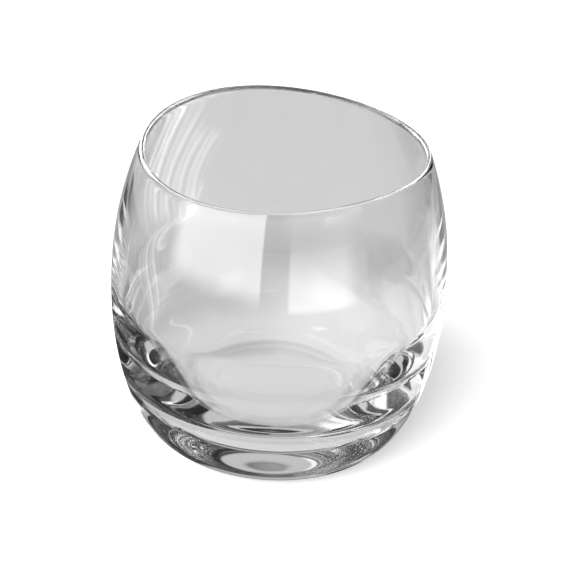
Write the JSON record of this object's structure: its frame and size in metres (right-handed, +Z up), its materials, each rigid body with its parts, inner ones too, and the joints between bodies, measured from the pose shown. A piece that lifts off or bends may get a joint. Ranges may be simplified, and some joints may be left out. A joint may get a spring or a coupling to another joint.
{
  "type": "rocks glass",
  "caption": "Round-bellied clear tumbler with a heavy base, a thin wall, a gently waved fire-polished lip and an open bowl for drinks over ice.",
  "frame": {"origin": "centre of the flat standing ring under the base, on the surface that the glass stands on", "axes": "+Z up along the glass's axis; +X towards one of the two high sides of the waved lip, +Y towards a low side"},
  "size_m": [0.09, 0.09, 0.0844],
  "materials": {
    "clear_glass": "clear, colourless, fire-polished"
  },
  "bodies": {
    "root": {"tumbler": "clear_glass"}
  },
  "joints": []
}
